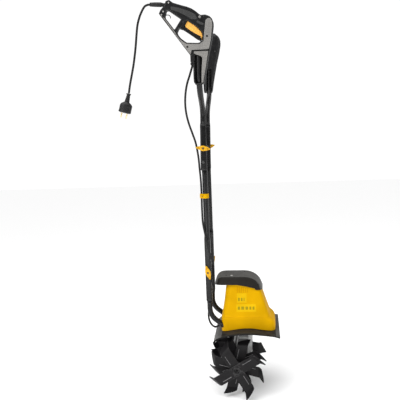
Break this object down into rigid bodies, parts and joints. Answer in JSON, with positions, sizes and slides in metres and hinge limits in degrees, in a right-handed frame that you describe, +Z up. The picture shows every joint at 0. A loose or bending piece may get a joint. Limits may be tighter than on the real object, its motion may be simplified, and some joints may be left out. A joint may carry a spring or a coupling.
{
  "type": "tiller",
  "caption": "Upright electric garden tiller: folding black tube handle with a D grip and switch, motor housing over a guard, and a star tine rotor below, with a short plug cord.",
  "frame": {"origin": "midpoint between the two hand grips, on the handle's centre plane", "axes": "+X forward, away from the operator; +Y to the operator's left; +Z up along the handle tubes"},
  "size_m": [0.5474, 0.4384, 1.4594],
  "materials": {
    "black_tube": "gloss black powder coat",
    "yellow_plastic": "glossy yellow moulding",
    "black_plastic": "matte black moulding",
    "grey_plastic": "satin grey moulding",
    "amber_plastic": "orange-yellow moulding",
    "tine_steel": "dark hardened steel, painted",
    "cast_metal": "die-cast, as cast",
    "bright_steel": "zinc plated",
    "lamination": "stacked laminations",
    "winding": "enamelled copper",
    "bronze": "sintered bronze",
    "brass_pin": "polished",
    "rubber": "matte black"
  },
  "bodies": {
    "base": {"motor_housing": "yellow_plastic", "motor_cover": "black_plastic", "tine_guard": "black_plastic", "gearbox_right": "cast_metal", "gearbox_left": "cast_metal", "lower_tube_right": "black_tube", "lower_tube_left": "black_tube", "tube_bracket": "black_tube", "stator_core": "lamination", "field_coil": "winding", "brush_bridge": "black_plastic", "bearing_bottom": "bright_steel", "shaft_bushing_right": "bronze", "shaft_bushing_left": "bronze", "motor_cable_gland": "black_plastic"},
    "tine_rotor": {"tine_shaft": "bright_steel", "worm_wheel": "bronze", "tine_sleeve_right": "tine_steel", "tine_sleeve_left": "tine_steel", "sleeve_pin_right": "bright_steel", "sleeve_pin_left": "bright_steel", "tine_blade_right_1a": "tine_steel", "tine_blade_right_1b": "tine_steel", "tine_blade_right_2a": "tine_steel", "tine_blade_right_2b": "tine_steel", "tine_blade_right_3a": "tine_steel", "tine_blade_right_3b": "tine_steel", "tine_blade_left_1a": "tine_steel", "tine_blade_left_1b": "tine_steel", "tine_blade_left_2a": "tine_steel", "tine_blade_left_2b": "tine_steel", "tine_blade_left_3a": "tine_steel", "tine_blade_left_3b": "tine_steel"},
    "motor_rotor": {"armature_shaft": "bright_steel", "armature_core": "lamination", "cooling_fan": "black_plastic"},
    "middle_handle": {"middle_tube_right": "black_tube", "middle_tube_left": "black_tube", "cable_clip": "yellow_plastic", "bolt_lower_right": "bright_steel", "bolt_lower_left": "bright_steel", "switch_cable": "rubber"},
    "upper_handle": {"upper_tube_right": "black_tube", "upper_tube_left": "black_tube", "bolt_upper_right": "bright_steel", "bolt_upper_left": "bright_steel", "switch_handle_outer": "black_plastic", "switch_handle_inner": "grey_plastic", "left_grip": "black_plastic", "switch_block": "black_plastic", "cord_sleeve": "rubber", "power_cord": "rubber", "plug_body": "black_plastic", "plug_pins": "brass_pin"},
    "trigger": {"trigger": "amber_plastic"},
    "lock_button": {"lock_button": "black_plastic"},
    "nut_lower_right": {"wing_nut_lower_right": "yellow_plastic"},
    "nut_lower_left": {"wing_nut_lower_left": "yellow_plastic"},
    "nut_upper_right": {"wing_nut_upper_right": "yellow_plastic"},
    "nut_upper_left": {"wing_nut_upper_left": "yellow_plastic"}
  },
  "joints": [
    {"name": "tine_spin", "type": "hinge", "parent": "base", "child": "tine_rotor", "pos_m": [0.1, 0, -1.25], "axis": [0, 1, 0], "continuous": true},
    {"name": "motor_spin", "type": "hinge", "parent": "base", "child": "motor_rotor", "pos_m": [0.137, 0, -1.06], "axis": [0, 0, 1], "continuous": true},
    {"name": "lower_fold", "type": "hinge", "parent": "base", "child": "middle_handle", "pos_m": [0, 0, -0.8833], "axis": [0, 1, 0], "range_deg": [0, 85], "deforming": ["switch_cable"]},
    {"name": "upper_fold", "type": "hinge", "parent": "middle_handle", "child": "upper_handle", "pos_m": [0, 0, -0.414], "axis": [0, 1, 0], "range_deg": [0, 160], "deforming": ["switch_cable"]},
    {"name": "trigger_pull", "type": "hinge", "parent": "upper_handle", "child": "trigger", "pos_m": [0.0165, -0.2, -0.03], "axis": [0, 1, 0], "range_deg": [0, 5], "stiffness_Nm_per_rad": 3, "springref_deg": -8.02},
    {"name": "lock_press", "type": "slide", "parent": "upper_handle", "child": "lock_button", "axis": [0, 1, 0], "range_m": [0, 0.0035], "stiffness_N_per_m": 400, "springref_m": -0.001},
    {"name": "wing_lower_right_turn", "type": "hinge", "parent": "middle_handle", "child": "nut_lower_right", "pos_m": [0, -0.0895, -0.8833], "axis": [0, 1, 0], "continuous": true},
    {"name": "wing_lower_left_turn", "type": "hinge", "parent": "middle_handle", "child": "nut_lower_left", "pos_m": [0, 0.0895, -0.8833], "axis": [0, 1, 0], "continuous": true},
    {"name": "wing_upper_right_turn", "type": "hinge", "parent": "upper_handle", "child": "nut_upper_right", "pos_m": [0, -0.1023, -0.414], "axis": [0, 1, 0], "continuous": true},
    {"name": "wing_upper_left_turn", "type": "hinge", "parent": "upper_handle", "child": "nut_upper_left", "pos_m": [0, 0.1023, -0.414], "axis": [0, 1, 0], "continuous": true}
  ],
  "couplings": [
    {"joint": "motor_spin", "follows": "tine_spin", "ratio": 24}
  ]
}
